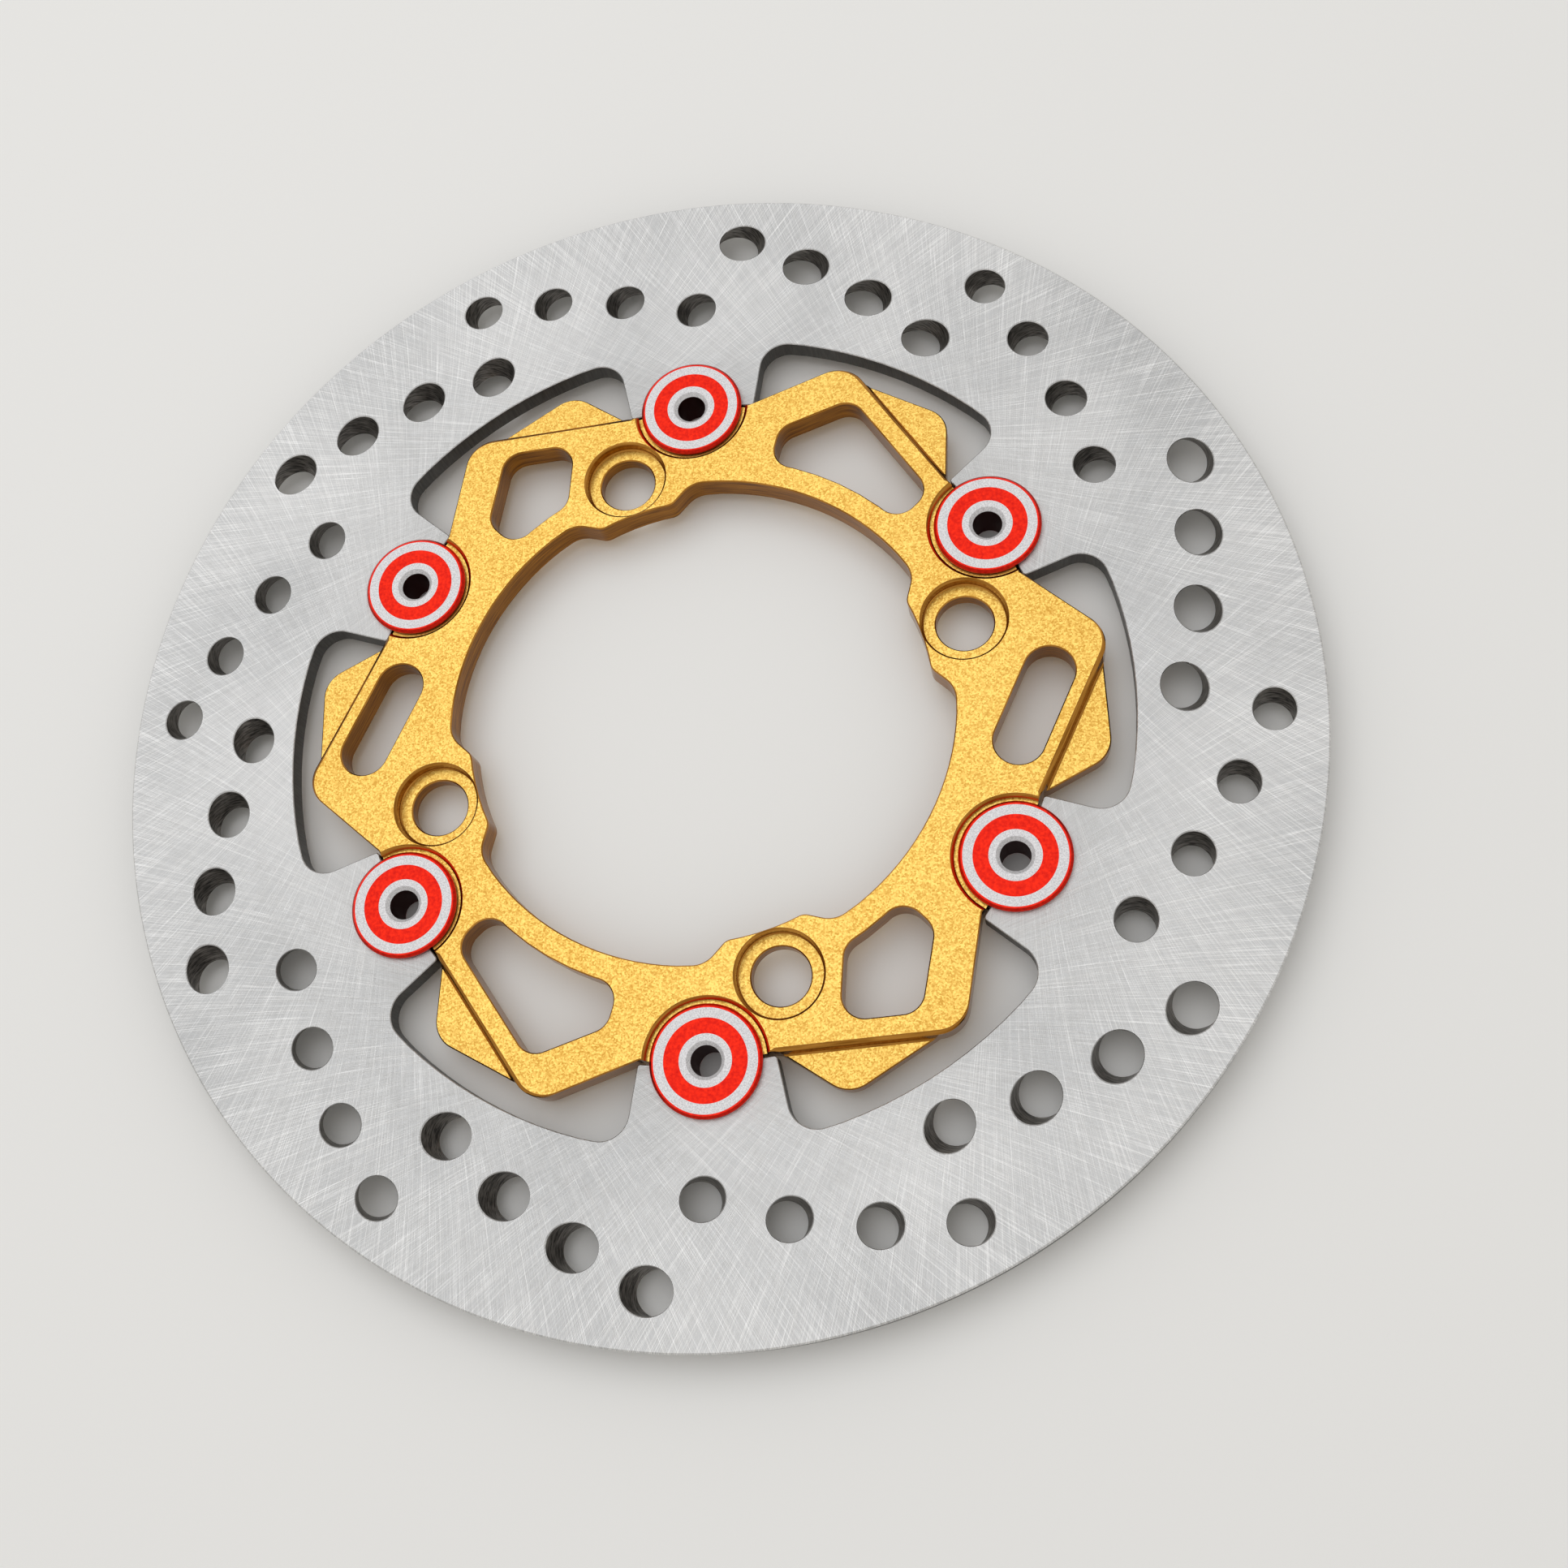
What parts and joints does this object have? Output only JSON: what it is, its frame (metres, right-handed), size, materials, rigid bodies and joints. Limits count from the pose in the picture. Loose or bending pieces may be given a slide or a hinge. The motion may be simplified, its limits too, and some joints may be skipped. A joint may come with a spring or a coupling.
{
  "type": "floating brake disc rotor",
  "caption": "Flat floating brake disc: a drilled steel braking band held by flanged bobbins on a windowed, anodised aluminium carrier with counterbored bolt holes.",
  "frame": {"origin": "on the wheel axis, in the plane of the bobbins' rear ends, which the disc rests on when it lies face up", "axes": "+Z along the wheel axis towards the outer face; +Y from the axis through the second bobbin; one turn of 60 degrees from bobbin to bobbin"},
  "size_m": [0.22, 0.22, 0.0084],
  "materials": {
    "ground_steel": "cross-ground, with fine crossing scratches",
    "gold_anodised": "bead-blasted and gold anodised, with fine machined chamfers",
    "red_anodised": "turned and bright red anodised, with marked pale rings",
    "spring_steel": "dark oiled spring steel",
    "washer_steel": "smooth stainless steel"
  },
  "bodies": {
    "carrier": {"rotor_carrier": "gold_anodised"},
    "braking_band": {"braking_band": "ground_steel"},
    "bobbin_1": {"bobbin_1": "red_anodised", "flat_washer_1": "washer_steel", "wave_washer_1": "spring_steel", "circlip_1": "spring_steel"},
    "bobbin_2": {"bobbin_2": "red_anodised", "flat_washer_2": "washer_steel", "wave_washer_2": "spring_steel", "circlip_2": "spring_steel"},
    "bobbin_3": {"bobbin_3": "red_anodised", "flat_washer_3": "washer_steel", "wave_washer_3": "spring_steel", "circlip_3": "spring_steel"},
    "bobbin_4": {"bobbin_4": "red_anodised", "flat_washer_4": "washer_steel", "wave_washer_4": "spring_steel", "circlip_4": "spring_steel"},
    "bobbin_5": {"bobbin_5": "red_anodised", "flat_washer_5": "washer_steel", "wave_washer_5": "spring_steel", "circlip_5": "spring_steel"},
    "bobbin_6": {"bobbin_6": "red_anodised", "flat_washer_6": "washer_steel", "wave_washer_6": "spring_steel", "circlip_6": "spring_steel"}
  },
  "joints": [
    {"name": "band_float", "type": "slide", "parent": "carrier", "child": "braking_band", "axis": [0, 0, 1], "range_m": [-0.00025, 0.00025], "stiffness_N_per_m": 120000},
    {"name": "bobbin_1_spin", "type": "hinge", "parent": "carrier", "child": "bobbin_1", "pos_m": [0.05456, 0.0315, 0], "axis": [0, 0, 1], "continuous": true},
    {"name": "bobbin_2_spin", "type": "hinge", "parent": "carrier", "child": "bobbin_2", "pos_m": [0, 0.063, 0], "axis": [0, 0, 1], "continuous": true},
    {"name": "bobbin_3_spin", "type": "hinge", "parent": "carrier", "child": "bobbin_3", "pos_m": [-0.05456, 0.0315, 0], "axis": [0, 0, 1], "continuous": true},
    {"name": "bobbin_4_spin", "type": "hinge", "parent": "carrier", "child": "bobbin_4", "pos_m": [-0.05456, -0.0315, 0], "axis": [0, 0, 1], "continuous": true},
    {"name": "bobbin_5_spin", "type": "hinge", "parent": "carrier", "child": "bobbin_5", "pos_m": [0, -0.063, 0], "axis": [0, 0, 1], "continuous": true},
    {"name": "bobbin_6_spin", "type": "hinge", "parent": "carrier", "child": "bobbin_6", "pos_m": [0.05456, -0.0315, 0], "axis": [0, 0, 1], "continuous": true}
  ]
}
